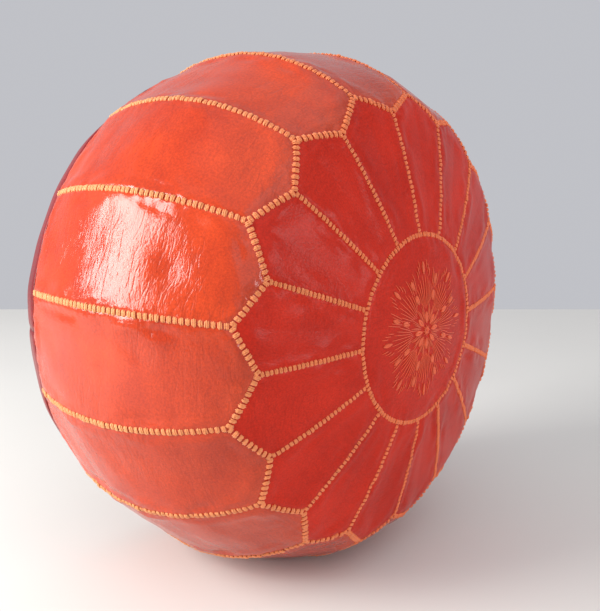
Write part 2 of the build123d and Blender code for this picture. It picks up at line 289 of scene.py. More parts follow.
def settle(points):
    """Press the cover flat on the floor: a soft maximum of its height and zero."""
    z = points[..., 2]
    lifted = 0.5 * (z + np.sqrt(z * z + SOFT_FLOOR * SOFT_FLOOR)) - FLOOR_SINK
    points[..., 2] = np.where(z < FLOOR_REACH, np.maximum(lifted, 0.0), z)
    return points


def cover(phi, turn, lift=0.0):
    """Points of the cover at normal angles and turns, raised by lift: the round body's point moved
    along its normal, which is cos(phi) along X and sin(phi) away from the axis."""
    phi, turn = np.broadcast_arrays(np.asarray(phi, float), np.asarray(turn, float))
    x, r = outline(phi)
    away = out(turn)
    body = away * r[..., None] + np.stack([x, 0 * x, 0 * x + AXIS_Z], -1)
    normal = away * np.sin(phi)[..., None]
    normal[..., 0] = np.cos(phi)
    rise = displacement(phi, turn, body) + lift
    return settle(body + normal * rise[..., None])


# %% [markdown]
# ## From arrays to meshes
#
# A patch of leather is a grid of points. from_pydata takes the corners and faces directly, and
# Solidify gives the patch the leather's thickness on the inside, so its rim is closed.

# %% Mesh helpers
LEATHER = 0.0016


def grid_faces(rows, columns, wrap=False):
    """Quads between neighbouring rows and columns of a grid, closed round if wrap is true."""
    last = columns if wrap else columns - 1
    row, column = np.meshgrid(np.arange(rows - 1), np.arange(last), indexing="ij")
    after = (column + 1) % columns
    here, next_row = row * columns, (row + 1) * columns
    quads = [here + column, here + after, next_row + after, next_row + column]
    return np.stack(quads, -1).reshape(-1, 4)


def set_uv(mesh, uv):
    """UV map from one pair of numbers for each point, handed on to the corners of the faces."""
    layer = mesh.uv_layers.new(name="UVMap")
    corner = np.zeros(len(mesh.loops), np.int32)
    mesh.loops.foreach_get("vertex_index", corner)
    layer.data.foreach_set("uv", uv.reshape(-1, 2)[corner].astype(np.float32).ravel())


def add_piece(mesh, name, kind, material, replaces=()):
    """Smooth object at the origin with a finish, riding on the pouf and standing for CAD nodes. Its
    kind tells it apart from the CAD node of the same name."""
    mesh.polygons.foreach_set("use_smooth", np.ones(len(mesh.polygons), bool))
    mesh.materials.append(material)
    piece = bpy.data.objects.new(f"{name}.{kind}" if replaces else name, mesh)
    bpy.context.scene.collection.objects.link(piece)
    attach(piece, "pouf")
    if replaces:
        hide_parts(*replaces)
    return piece


def make_piece(name, points, faces, material, replaces=(), uv=None):
    """Piece of leather from a grid of points."""
    mesh = bpy.data.meshes.new(name)
    mesh.from_pydata(points.reshape(-1, 3).tolist(), [], faces.tolist())
    if uv is not None:
        set_uv(mesh, uv)
    mesh.validate()
    return add_piece(mesh, name, "sewn", material, replaces=replaces)


def thicken(piece, thickness):
    """Give a sheet its thickness behind the outer face."""
    wall = piece.modifiers.new("thickness", "SOLIDIFY")
    wall.thickness, wall.offset = thickness, -1.0
    wall.use_even_offset = False


MIDDLE = np.array([0.0, 0.0, AXIS_Z])


def outward(points, faces):
    """Turn the faces round if they point towards the pouf's middle."""
    corners = points.reshape(-1, 3)[faces]
    normal = np.cross(corners[:, 1] - corners[:, 0], corners[:, 2] - corners[:, 0])
    facing = np.einsum("ij,ij->i", normal, corners.mean(1) - MIDDLE).sum()
    return faces if facing > 0 else faces[:, ::-1]


# %% [markdown]
# ## Finishes
#
# The side panels are glazed goat leather: nearly smooth, with a fine pebble, hairline creases and
# slow changes of shade, glazed to a gloss. The pattern is one shader node group, so that every
# leather shares it and only the colours and amounts differ. A group gives out values that vary
# over the surface, and the shader with its gloss stays in each material.

# %% A leather pattern as a node group
def new_group(name, inputs, outputs):
    """Empty shader group with float, vector or colour sockets and its two end nodes."""
    group = bpy.data.node_groups.new(name, "ShaderNodeTree")
    for label, kind, value in inputs:
        socket = group.interface.new_socket(name=label, in_out="INPUT", socket_type="NodeSocket" + kind)
        if value is not None:
            socket.default_value = value
    for label, kind in outputs:
        group.interface.new_socket(name=label, in_out="OUTPUT", socket_type="NodeSocket" + kind)
    return group, group.nodes.new("NodeGroupInput"), group.nodes.new("NodeGroupOutput")


def put(tree, kind, settings=None, **inputs):
    """Add a node, set its own settings, and link or set its inputs by name."""
    node = tree.nodes.new("ShaderNode" + kind)
    for key, value in (settings or {}).items():
        setattr(node, key, value)
    for key, value in inputs.items():
        socket = node.inputs[int(key[1:])] if key[1:].isdigit() else node.inputs[key.replace("_", " ")]
        if isinstance(value, bpy.types.NodeSocket):
            tree.links.new(value, socket)
        else:
            socket.default_value = value
    return node


def maths(tree, operation, a, b=0.0, clamp=False):
    """Output of a Math node on two sockets or numbers."""
    return put(tree, "Math", {"operation": operation, "use_clamp": clamp}, i0=a, i1=b).outputs[0]


def leather_group():
    """Pebble, hairline creases and slow shade: cells for the pebble, ridges of two stretched and
    warped noises for the creases, a broad noise for the shade."""
    takes = [("Vector", "Vector", None), ("Pebble", "Float", 0.3), ("Creases", "Float", 0.5)]
    gives = [(label, "Float") for label in ("Height", "Crease", "Shade", "Grain")]
    tree, start, end = new_group("leather_surface", takes, gives)
    place = start.outputs["Vector"]
    cells = put(tree, "TexVoronoi", {"feature": "SMOOTH_F1"}, Vector=place, Scale=620.0, Smoothness=0.6)
    mottle = put(tree, "TexNoise", Vector=place, Scale=230.0, Detail=3.0)
    domes = maths(tree, "MULTIPLY", cells.outputs["Distance"], 0.6)
    pebble = maths(tree, "ADD", domes, mottle.outputs["Fac"])
    bend = put(tree, "TexNoise", Vector=place, Scale=9.0, Detail=2.0)
    moved = put(tree, "VectorMath", {"operation": "MULTIPLY_ADD"}, i0=bend.outputs["Color"],
                i1=(0.03, 0.03, 0.03), i2=place).outputs[0]
    lines = []
    for stretch, scale, sharp in (((0.22, 1.0, 1.0), 120.0, 16.0), ((0.4, 1.0, 1.0), 260.0, 11.0)):
        drawn = put(tree, "VectorMath", {"operation": "MULTIPLY"}, i0=moved, i1=stretch).outputs[0]
        noise = put(tree, "TexNoise", Vector=drawn, Scale=scale, Detail=2.0, Roughness=0.5)
        ridge = maths(tree, "ABSOLUTE", maths(tree, "SUBTRACT", noise.outputs["Fac"], 0.5))
        lines.append(maths(tree, "SUBTRACT", 1.0, maths(tree, "MULTIPLY", ridge, sharp), clamp=True))
    where = put(tree, "TexNoise", Vector=place, Scale=11.0, Detail=2.0)
    patch = put(tree, "MapRange", {"interpolation_type": "SMOOTHSTEP"}, Value=where.outputs["Fac"],
                From_Min=0.38, From_Max=0.58).outputs["Result"]
    finer = maths(tree, "MULTIPLY", lines[1], 0.5)
    crease = maths(tree, "MULTIPLY", maths(tree, "MAXIMUM", lines[0], finer), patch)
    height = maths(tree, "SUBTRACT", maths(tree, "MULTIPLY", pebble, start.outputs["Pebble"]),
                   maths(tree, "MULTIPLY", crease, start.outputs["Creases"]))
    shade = put(tree, "TexNoise", Vector=place, Scale=9.0, Detail=6.0, Roughness=0.68)
    speck = put(tree, "TexNoise", Vector=place, Scale=420.0, Detail=4.0, Roughness=0.75)
    grain = put(tree, "MapRange", Value=speck.outputs["Fac"], From_Min=0.34, From_Max=0.60)
    tree.links.new(grain.outputs["Result"], end.inputs["Grain"])
    tree.links.new(height, end.inputs["Height"])
    tree.links.new(crease, end.inputs["Crease"])
    tree.links.new(shade.outputs["Fac"], end.inputs["Shade"])
    return tree


LEATHER_SURFACE = leather_group()


def new_material(name):
    """Node material with its tree and its Principled BSDF."""
    material = bpy.data.materials.new(name)
    material.use_nodes = True
    tree = material.node_tree
    return material, tree, tree.nodes["Principled BSDF"]


def leather(name, bright, deep, roughness, pebble, creases, specular):
    """Glazed leather: shade moves the colour between two dyes, pores darken it, painted shade darkens the
    creases, and pebble and creases lift and sink it through one Bump node. The UV map is in metres."""
    material, tree, shader = new_material(name)
    place = put(tree, "TexCoord").outputs["UV"]
    surface = put(tree, "Group", {"node_tree": LEATHER_SURFACE}, Vector=place,
                  Pebble=pebble, Creases=creases)
    shade = put(tree, "MapRange", Value=surface.outputs["Shade"], From_Min=0.3, From_Max=0.7)
    dyed = put(tree, "MixRGB", Fac=shade.outputs["Result"], Color1=(*deep, 1), Color2=(*bright, 1))
    dark = tuple(c * 0.45 for c in deep)
    pores = put(tree, "MixRGB", {"blend_type": "MULTIPLY"}, Fac=0.30, Color1=dyed.outputs[0],
                Color2=surface.outputs["Grain"])
    # Painted shade in the creases: dark, a darker copy of the deep dye, is mixed in along the crease mask.
    crease_shade = maths(tree, "MULTIPLY", surface.outputs["Crease"], 0.22)
    creased = put(tree, "MixRGB", Fac=crease_shade, Color1=pores.outputs[0], Color2=(*dark, 1))
    tree.links.new(creased.outputs[0], shader.inputs["Base Color"])
    smear = maths(tree, "MULTIPLY", surface.outputs["Shade"], 0.16)
    tree.links.new(maths(tree, "ADD", smear, roughness - 0.08), shader.inputs["Roughness"])
    bump = put(tree, "Bump", Height=surface.outputs["Height"], Strength=0.55, Distance=0.0006)
    tree.links.new(bump.outputs["Normal"], shader.inputs["Normal"])
    shader.inputs["Specular IOR Level"].default_value = specular
    return material


side_leather = leather("side_leather", bright=(0.68, 0.060, 0.008), deep=(0.43, 0.028, 0.005),
                       roughness=0.20, pebble=0.40, creases=0.5, specular=0.46)
crown_leather = leather("crown_leather", bright=(0.66, 0.028, 0.010), deep=(0.47, 0.016, 0.006),
                        roughness=0.30, pebble=0.45, creases=0.35, specular=0.16)
base_leather = leather("base_leather", bright=(0.26, 0.006, 0.008), deep=(0.16, 0.003, 0.005),
                       roughness=0.34, pebble=0.3, creases=0.6, specular=0.32)
print("leathers:", side_leather.name, crown_leather.name, base_leather.name)

# %% [markdown]
# ## Thread, cotton, zip tape and brass
#
# The seams are worked in a shiny viscose thread whose colour runs from straw on the -X, -Y side
# to coral on the +X, +Y side. A twisted thread catches light in slanting bands, so its bump
# follows the thread's own UV map. Brass gets uneven roughness, fine scratches and dark tarnish in patches.

# %% Thread, cloth and metal
TWIST = 60.0


def thread(name, near, far):
    """Thread that runs from one colour to another across the pouf, by X and Y, with a twist along it."""
    material, tree, shader = new_material(name)
    place = put(tree, "TexCoord")
    split = put(tree, "SeparateXYZ", Vector=place.outputs["Object"])
    # Colour runs by X and Y: straw at the -X, -Y side, towards the window, and coral at the +X, +Y side.
    run = maths(tree, "ADD", maths(tree, "MULTIPLY", split.outputs["X"], 1.3), split.outputs["Y"])
    run = put(tree, "MapRange", Value=run, From_Min=-0.26, From_Max=0.16).outputs["Result"]
    uneven = put(tree, "TexNoise", Vector=place.outputs["Object"], Scale=260.0, Detail=2.0)
    mix = put(tree, "MixRGB", Fac=run, Color1=(*near, 1), Color2=(*far, 1))
    dark = put(tree, "MixRGB", {"blend_type": "MULTIPLY"}, Fac=0.22, Color1=mix.outputs[0],
               Color2=uneven.outputs["Fac"])
    tree.links.new(dark.outputs[0], shader.inputs["Base Color"])
    wave = put(tree, "TexWave", {"bands_direction": "DIAGONAL"}, Vector=place.outputs["UV"],
               Scale=TWIST, Distortion=0.5)
    bump = put(tree, "Bump", Height=wave.outputs["Fac"], Strength=0.4, Distance=0.0002)
    tree.links.new(bump.outputs["Normal"], shader.inputs["Normal"])
    shader.inputs["Roughness"].default_value = 0.5
    shader.inputs["Sheen Weight"].default_value = 0.25
    return material


def cloth(name, colour, threads_per_metre):
    """Plain weave: two crossed waves on Object coordinates for the bump, and noise in the colour."""
    material, tree, shader = new_material(name)
    place = put(tree, "TexCoord").outputs["Object"]
    pitch = threads_per_metre / 6.28
    warp, weft = (put(tree, "TexWave", {"bands_direction": way}, Vector=place, Scale=pitch) for way in "YZ")
    weave = maths(tree, "MAXIMUM", warp.outputs["Fac"], weft.outputs["Fac"])
    fleck = put(tree, "TexNoise", Vector=place, Scale=400.0, Detail=3.0)
    low = tuple(c * 0.6 for c in colour)
    tint = put(tree, "MixRGB", Fac=fleck.outputs["Fac"], Color1=(*low, 1), Color2=(*colour, 1))
    tree.links.new(tint.outputs[0], shader.inputs["Base Color"])
    bump = put(tree, "Bump", Height=weave, Strength=0.5, Distance=0.0003)
    tree.links.new(bump.outputs["Normal"], shader.inputs["Normal"])
    shader.inputs["Roughness"].default_value = 0.85
    return material


def brass(name):
    """Aged brass: tarnish from noise darkens and dulls it, and a fine scratch noise lifts it."""
    material, tree, shader = new_material(name)
    place = put(tree, "TexCoord").outputs["Object"]
    age = put(tree, "TexNoise", Vector=place, Scale=160.0, Detail=6.0, Roughness=0.7)
    stain = put(tree, "MapRange", Value=age.outputs["Fac"], From_Min=0.42, From_Max=0.68)
    tint = put(tree, "MixRGB", Fac=stain.outputs["Result"], Color1=(0.72, 0.47, 0.18, 1),
               Color2=(0.25, 0.14, 0.05, 1))
    tree.links.new(tint.outputs[0], shader.inputs["Base Color"])
    dull = maths(tree, "ADD", maths(tree, "MULTIPLY", age.outputs["Fac"], 0.35), 0.12)
    tree.links.new(dull, shader.inputs["Roughness"])
    scratch = put(tree, "TexNoise", Vector=place, Scale=900.0, Detail=2.0)
    bump = put(tree, "Bump", Height=scratch.outputs["Fac"], Strength=0.25, Distance=0.0001)
    tree.links.new(bump.outputs["Normal"], shader.inputs["Normal"])
    shader.inputs["Metallic"].default_value = 1.0
    return material


braid_thread = thread("braid_thread", (0.95, 0.40, 0.14), (0.98, 0.20, 0.05))
embroidery_thread = thread("embroidery_thread", (1.0, 0.16, 0.045), (1.0, 0.15, 0.04))
lining_cotton = cloth("lining_cotton", (0.75, 0.70, 0.60), 1400.0)
stuffing_fibre = cloth("stuffing_fibre", (0.80, 0.78, 0.72), 500.0)
zip_tape = cloth("zip_tape", (0.16, 0.012, 0.014), 1600.0)
zip_brass = brass("zip_brass")
print("materials:", len(bpy.data.materials))

# %% [markdown]
# ## Leather panels
#
# A petal spans from one petal seam to the next and from the medallion to the zigzag. A side panel
# spans the side seams, from the zigzag to the base. Columns crowd towards the seams, where the
# leather dives under the stitches, and an odd number of them puts one on the zigzag's corner.

# %% Petals and side panels
PETAL_GRID, SIDE_GRID = (74, 57), (150, 81)


def crowded(count, share=0.6):
    """Numbers from 0 to 1 that crowd towards both ends, by mixing a cosine step with a plain one."""
    plain = np.linspace(0, 1, count)
    return share * (0.5 - 0.5 * np.cos(np.pi * plain)) + (1 - share) * plain


def panel(name, first_turn, start, rows, columns, material, slot):
    """Leather between two radial seams, from a start angle (given for each column) to the zigzag."""
    turn = first_turn - crowded(columns) * PITCH
    share = crowded(rows)[:, None]
    phi = (1 - share) * start + share * zigzag(turn)[None, :]
    points = cover(phi, np.broadcast_to(turn, phi.shape))
    faces = outward(points, grid_faces(rows, columns))
    flat = np.stack([turn * RADIUS + 0 * phi, along(phi)], -1)
    piece = make_piece(name, points, faces, material, replaces=[name], uv=flat)
    thicken(piece, LEATHER)
    return piece


for k in range(PANELS):
    petal_from, side_from = FIRST_SEAM - k * PITCH, FIRST_SEAM - (k - 0.5) * PITCH
    panel(f"petal_{k + 1:02d}", petal_from, MEDALLION_END, *PETAL_GRID, crown_leather, "crown_leather")
    panel(f"side_panel_{k + 1:02d}", side_from, BASE_SEAM, *SIDE_GRID, side_leather, "side_leather")
print("panels:", 2 * PANELS)

# %% [markdown]
# ## Medallion
#
# A disc with a pole in its middle shades badly there. A square grid squeezed onto a disc has no
# pole: each point (u, v) of the square moves to (u sqrt(1 - v^2/2), v sqrt(1 - u^2/2)).

# %% Medallion
DISC = 97
u, v = np.meshgrid(np.linspace(-1, 1, DISC), np.linspace(-1, 1, DISC))
disc_y, disc_z = u * np.sqrt(1 - v * v / 2), v * np.sqrt(1 - u * u / 2)


def on_crown(y, z, lift=0.0):
    """Point of the crown over a place across the axis: its distance out gives the normal angle."""
    reach = np.hypot(y, z)
    return cover(np.arcsin(reach / ARC_RADII[0]), np.arctan2(z, y), lift)


points = on_crown(disc_y * MEDALLION_R, disc_z * MEDALLION_R)
flat_disc = np.stack([disc_y, disc_z], -1) * MEDALLION_R
medallion = make_piece("medallion", points, outward(points, grid_faces(DISC, DISC)), crown_leather,
                       replaces=["medallion"], uv=flat_disc)
thicken(medallion, LEATHER)
print("medallion", DISC, "x", DISC)

# %% [markdown]
# ## Base
#
# The base is two half discs that meet along the zip. Each is a fan of columns from the slot's edge
# out to the base seam, laid out flat and then bent round the rim by outline length. At the slot
# the leather turns in on a small radius and runs down to the zip tape.

# %% Base halves
SLOT_NEAR, SLOT_FAR = 0.165, -0.185
SLOT_HALF, EDGE_ROLL, LIP = 0.008, 0.0016, 0.0052
HALF_GAP, CORNER = 0.00005, 0.03
FLAT_R = arc_r[5]
BASE_REACH = FLAT_R + arc_length[-1] - along(BASE_SEAM)


def on_base(y, z):
    """Point of the base from its place on the flat pattern: past the flat middle the distance out
    is outline length round the rim, which gives the normal angle."""
    reach, turn = np.hypot(y, z), np.arctan2(z, y)
    rim = np.interp(arc_length[-1] - np.maximum(reach - FLAT_R, 0.0), arc_length, ARC_ANGLES)
    x, r = outline(rim)
    r = np.where(reach < FLAT_R, reach, r)
    away = out(turn)
    body = away * r[..., None] + np.stack([x, 0 * x, 0 * x + AXIS_Z], -1)
    normal = away * np.sin(rim)[..., None]
    normal[..., 0] = np.cos(rim)
    calm = 1 - np.exp(-(z / 0.03) ** 2)
    seam = np.abs(BASE_REACH - reach)
    rise = 0.0010 * calm * waves(body, 0.05, 0.15, 16, 9) - VALLEY * np.exp(-(seam / VALLEY_WIDTH) ** 2)
    rise = rise - 0.0012 * np.exp(-(np.abs(z) / 0.004) ** 2) * (reach > max(SLOT_NEAR, -SLOT_FAR))
    return body + normal * rise[..., None]


def base_half(name, up, rows=64, columns=161, lip_rows=8):
    """Half of the base: the slot's edge as a path with its outward direction, then columns from it."""
    share = np.linspace(0, 1, columns)
    along_slot = np.clip((share - CORNER) / (1 - 2 * CORNER), 0, 1)
    edge_y = SLOT_NEAR + (SLOT_FAR - SLOT_NEAR) * along_slot
    climb = np.clip(np.minimum(share, 1 - share) / CORNER, 0, 1)
    edge_z = SLOT_HALF * climb
    lean = np.where(share < 0.5, 1, -1) * (1 - climb)
    outwards = np.stack([lean, np.sqrt(1 - lean * lean)], -1)
    start = np.stack([edge_y, edge_z], -1) + outwards * EDGE_ROLL
    start[:, 1] = np.maximum(start[:, 1], HALF_GAP)
    rim = BASE_REACH * np.stack([np.cos(np.pi * share), np.sin(np.pi * share)], -1)
    rim[:, 1] = np.maximum(rim[:, 1], HALF_GAP)
    blend = np.linspace(0, 1, rows)[:, None, None] ** 1.2
    flat = (1 - blend) * start + blend * rim
    face = on_base(flat[..., 0], flat[..., 1] * up)
    roll = np.linspace(np.pi / 2, 0, lip_rows)[:-1]
    steps = [(LIP, EDGE_ROLL)] + [(EDGE_ROLL * (1 - np.cos(a)), EDGE_ROLL * np.sin(a)) for a in roll]
    rolls = []
    for depth, inset in steps:
        row = face[0].copy()
        row[:, 0] += depth
        row[:, 1] -= outwards[:, 0] * inset
        row[:, 2] -= outwards[:, 1] * inset * up
        rolls.append(row)
    points = np.concatenate([np.array(rolls), face])
    faces = grid_faces(len(points), columns)
    piece = make_piece(name, points, outward(points, faces), base_leather,
                       replaces=[name], uv=points[..., 1:])
    thicken(piece, LEATHER)
    return piece


base_half("base_upper_half", 1)
base_half("base_lower_half", -1)
print("base reach", round(BASE_REACH, 4), "slot", round(SLOT_FAR, 3), "to", round(SLOT_NEAR, 3))

# %% [markdown]
# ## Lining and stuffing
#
# Both fill the leather and are out of sight, so they are plain closed forms that follow the same
# surface further in. Rings run from the crown to the base, and a fan closes each pole. Behind the
# zip the rings step in, which leaves the zip its channel.

# %% Lining and stuffing
CHANNEL, CHANNEL_HALF, CHANNEL_EDGE = 0.0105, 0.020, 0.0012
DEEPER, DEEPER_FROM = 0.0030, 0.10


def filling(name, material, inset, rings, columns):
    """Closed body inside the cover: rings of the outline moved in by inset, with fans at the poles."""
    phi = np.linspace(0.03, np.pi, rings)
    turn = np.linspace(0, 2 * np.pi, columns, endpoint=False)
    deeper = inset + DEEPER * np.clip((phi - BASE_SEAM + DEEPER_FROM) / DEEPER_FROM, 0, 1)
    side = cover(phi[:, None], turn[None, :], -deeper[:, None])
    shrink = np.linspace(1, 0, 14)[1:-1]
    centre = MIDDLE + [side[-1, 0, 0], 0, 0]
    base_rings = [centre + (side[-1] - MIDDLE) * [0, share, share] for share in shrink]
    points = np.concatenate([side, np.array(base_rings)])
    across, height = np.abs(points[..., 2] - AXIS_Z), points[..., 1]
    near = 1 / (1 + np.exp((across - CHANNEL_HALF) / CHANNEL_EDGE))
    inside = (height > SLOT_FAR - 0.01) & (height < SLOT_NEAR + 0.01) & (points[..., 0] < BASE_X + 0.03)
    points[..., 0] += CHANNEL * near * inside
    points[..., 2] = np.maximum(points[..., 2], inset)
    count = len(points) * columns
    poles = [[CROWN_X - inset, 0, AXIS_Z], [points[-1, :, 0].max(), 0, AXIS_Z]]
    everything = np.concatenate([points.reshape(-1, 3), poles])
    ring = np.arange(columns)
    after = (ring + 1) % columns
    last = count - columns
    faces = [grid_faces(len(points), columns, wrap=True),
             np.stack([ring, after, 0 * ring + count], -1),
             np.stack([last + ring, last + after, 0 * ring + count + 1], -1)]
    mesh = bpy.data.meshes.new(name)
    mesh.from_pydata(everything.tolist(), [],
                     [face for part in faces for face in outward(everything, part).tolist()])
    return add_piece(mesh, name, "filled", material, replaces=[name])


lining = filling("cotton_lining", lining_cotton, 0.0024, 120, 256)
thicken(lining, 0.0008)
stuffing = filling("stuffing", stuffing_fibre, 0.0038, 90, 192)
print("stuffing", len(stuffing.data.vertices), "points")

# %% [markdown]
# ## Thread laid on leather
#
# A stitch is a short length of thread that dives into the leather at both ends. Hundreds of them
# are made at once: every stitch is a centreline of a few points with a direction up, and a ring of
# points round each centreline point makes its surface. A stitch has only a few dozen faces.

# %% Stitches
ROUND = 6


def thread_mesh(lines, ups, radii):
    """Tubes round many centrelines at once. Arrays hold (stitch, point, xyz). Each ring is the
    centre plus radius times (cos side + sin up), and an end ring is closed by one face."""
    stitches, length = radii.shape
    ahead = np.gradient(lines, axis=1)
    side = np.cross(ahead, ups)
    side /= np.linalg.norm(side, axis=-1, keepdims=True)
    above = np.cross(side, ahead)
    above /= np.linalg.norm(above, axis=-1, keepdims=True)
    angle = np.linspace(0, 2 * np.pi, ROUND, endpoint=False)
    ring = np.cos(angle)[:, None] * side[:, :, None] + np.sin(angle)[:, None] * above[:, :, None]
    points = lines[:, :, None] + radii[:, :, None, None] * ring
    faces = grid_faces(length, ROUND, wrap=True)[:, ::-1]
    offsets = np.arange(stitches)[:, None, None] * (length * ROUND)
    sides = (faces[None] + offsets).reshape(-1, 4)
    caps = np.stack([np.arange(ROUND), (length - 1) * ROUND + np.arange(ROUND)[::-1]])
    caps = (caps[None] + offsets).reshape(-1, ROUND)
    along_uv = np.linspace(0, 1, length)[None, :, None] + np.zeros((stitches, length, ROUND))
    round_uv = np.linspace(0, 1, ROUND)[None, None, :] + np.zeros((stitches, length, ROUND))
    return points, sides, caps, np.stack([along_uv, round_uv], -1)


def thread_piece(name, parts, material, replaces=()):
    """One object from several sets of tubes."""
    points, faces, uvs, shift = [], [], [], 0
    for part_points, sides, caps, uv in parts:
        points.append(part_points.reshape(-1, 3))
        uvs.append(uv.reshape(-1, 2))
        faces += (sides + shift).tolist() + (caps + shift).tolist()
        shift += points[-1].shape[0]
    everything = np.concatenate(points)
    everything[:, 2] = np.maximum(everything[:, 2], 0.0)
    mesh = bpy.data.meshes.new(name)
    mesh.from_pydata(everything.tolist(), [], faces)
    set_uv(mesh, np.concatenate(uvs))
    piece = add_piece(mesh, name, "worked", material, replaces=replaces)
    print(name, "faces", len(faces))
    return piece


# %% [markdown]
# ## Braids over the seams
#
# Each seam is worked in blocks: three threads side by side over it, then a narrow gap. The side
# seams and the zigzag are worked a little coarser than the seams of the crown.
# Along a seam the path is known as normal angles and turns, so its points, its direction and the
# leather's normal come from the cover itself, and blocks are dropped at equal lengths along it.

# %% Braid along a path
SIDE_WORK = dict(pitch=0.0054, width=0.0070, rise=0.00155)
CROWN_WORK = dict(pitch=0.0046, width=0.0058, rise=0.00135)
THREADS, ACROSS = 3, 7


def seam_frame(phi, turn):
    """Points, directions and normals along a seam, evenly spaced by length."""
    points = cover(phi, turn)
    length = np.concatenate([[0], np.cumsum(np.linalg.norm(np.diff(points, axis=0), axis=1))])
    normal = out(turn) * np.sin(phi)[:, None]
    normal[:, 0] = np.cos(phi)
    ahead = np.gradient(points, axis=0)
    ahead /= np.linalg.norm(ahead, axis=1, keepdims=True)
    return points, ahead, normal, length


def braid(phi, turn, seed, work, clear=(0.0, 0.0)):
    """Blocks of threads across a seam: block centres at equal lengths along the path, and in each
    block threads stepped along it, arched over the seam and a little slanted and uneven."""
    points, ahead, normal, length = seam_frame(phi, turn)
    usable = length[-1] - clear[0] - clear[1]
    pitch, width = work["pitch"], work["width"]
    blocks = max(int(round(usable / pitch)), 1)
    at = clear[0] + (np.arange(blocks) + 0.5) * usable / blocks
    pick = lambda field: np.stack([np.interp(at, length, field[:, i]) for i in range(3)], -1)
    centre, direction, up = pick(points), pick(ahead), pick(normal)
    sideways = np.cross(direction, up)
    random = np.random.default_rng(seed)
    jitter = random.normal(size=(blocks, THREADS, 4))
    a = np.linspace(-1, 1, ACROSS)
    count = np.arange(THREADS) - (THREADS - 1) / 2
    half = width / 2 * (1 - 0.16 * count ** 2 + 0.05 * jitter[..., 0])
    slide = count * pitch * 0.235 + 0.00010 * jitter[..., 1]
    slant = 0.00030 + 0.00015 * jitter[..., 2]
    rise = work["rise"] * (1 - 0.26 * count ** 2 + 0.06 * jitter[..., 3])
    dome = (1 - np.abs(a) ** 2.2) - 0.42 * np.exp(-(a / 0.20) ** 2)
    arch = -0.0006 + (rise[..., None] + 0.0006) * dome
    lines = (centre[:, None, None] + sideways[:, None, None] * (half[..., None] * a)[..., None]
             + direction[:, None, None] * (slide[..., None] + slant[..., None] * a)[..., None]
             + up[:, None, None] * arch[..., None])
    lines = lines.reshape(-1, ACROSS, 3)
    ups = np.broadcast_to(up[:, None, None], (blocks, THREADS, ACROSS, 3)).reshape(-1, ACROSS, 3)
    radii = pitch * 0.145 * (1 - 0.35 * np.abs(a) ** 4) * np.ones((len(lines), 1))
    return thread_mesh(lines, ups, radii)


def between(first, last, count=160):
    """Evenly spaced angles for a path."""
    return np.linspace(first, last, count)


# %% [markdown]
# ## The four kinds of braid
#
# Petal seams and side seams stay at one turn, the zigzag follows its table, and the ring goes once
# round the medallion. Where seams meet, the radial braids stop short of the zigzag's threads.

# %% Work the seams
END_CLEAR = 0.0012
petal_parts, side_parts, zigzag_parts = [], [], []
for k in range(PANELS):
    petal_turn, side_turn = FIRST_SEAM - k * PITCH, FIRST_SEAM - (k + 0.5) * PITCH
    path = between(MEDALLION_END, zigzag(petal_turn))
    petal_parts.append(braid(path, 0 * path + petal_turn, 100 + k, CROWN_WORK, (2 * END_CLEAR, END_CLEAR)))
    path = between(zigzag(side_turn), BASE_SEAM)
    side_parts.append(braid(path, 0 * path + side_turn, 200 + k, SIDE_WORK, (END_CLEAR, 0.0)))
    for half in (0, 1):
        turns = between(petal_turn, side_turn) if half else between(petal_turn + PITCH / 2, petal_turn)
        zigzag_parts.append(braid(zigzag(turns), turns, 300 + 2 * k + half, SIDE_WORK))
thread_piece("petal_seam_braids", petal_parts, braid_thread, ["petal_seam_braids"])
thread_piece("side_seam_braids", side_parts, braid_thread, ["side_seam_braids"])
thread_piece("zigzag_seam_braid", zigzag_parts, braid_thread, ["zigzag_seam_braid"])
turns = between(0, 2 * np.pi, 720)
ring_part = braid(0 * turns + MEDALLION_END, turns, 400, CROWN_WORK)
thread_piece("medallion_braid", [ring_part], braid_thread, ["medallion_braid"])

# %% [markdown]
# ## The rosette
#
# The medallion carries an eight-fold rosette in its own colour: a small eye, fans of long
# stitches, leaves made of short stitches lying at a slant, and a broken outer ring. A stitch is
# given on the flat disc by its two ends, and is laid over the crown by the same map as the leather.

# %% Embroidered rosette
FOLD = 8
ROSETTE_TURN = np.radians(4.0)


def stitches(y0, z0, y1, z1, radius, height, count=6):
    """Tubes for stitches between pairs of places on the disc: each end dips into the leather and
    the middle stands at the given height."""
    a = np.linspace(0, 1, count)
    y = y0[:, None] + (y1 - y0)[:, None] * a
    z = z0[:, None] + (z1 - z0)[:, None] * a
    arch = height * (1 - np.abs(2 * a - 1) ** 4) - 0.0003
    points = on_crown(y, z, arch + 0 * y)
    reach = np.hypot(y, z) / ARC_RADII[0]
    turn = np.arctan2(z, y)
    ups = out(turn) * reach[..., None]
    ups[..., 0] = np.sqrt(1 - reach ** 2)
    radii = radius * (1 - 0.45 * np.abs(2 * a - 1) ** 4) + 0 * y
    return thread_mesh(points, ups, radii)


def polar_stitches(r0, t0, r1, t1, radius, height):
    """Stitches by the distance out and the turn of their ends, repeated for every fold."""
    turns = ROSETTE_TURN + np.arange(FOLD)[:, None] * (2 * np.pi / FOLD)
    a, b = (turns + t0).ravel(), (turns + t1).ravel()
    r0, r1 = np.tile(r0, FOLD), np.tile(r1, FOLD)
    return stitches(r0 * np.cos(a), r0 * np.sin(a), r1 * np.cos(b), r1 * np.sin(b), radius, height)


def leaf(inner, outer, centre, width, count=22, radius=0.00042, height=0.0011, lean=0.35):
    """Filled leaf: stitches side by side across its middle line, as long as the leaf is wide there
    (width times the sine of the share along it, to a soft power), leaning outwards at the ends."""
    share = (np.arange(count) + 0.5) / count
    middle = inner + (outer - inner) * share
    half = width * np.sin(np.pi * share) ** 0.8
    parts = []
    for side in (-1, 1):
        tip = middle + lean * half
        edge_turn = centre + side * half / tip
        parts.append(polar_stitches(middle, centre + 0 * half, tip, edge_turn, radius, height))
    return parts


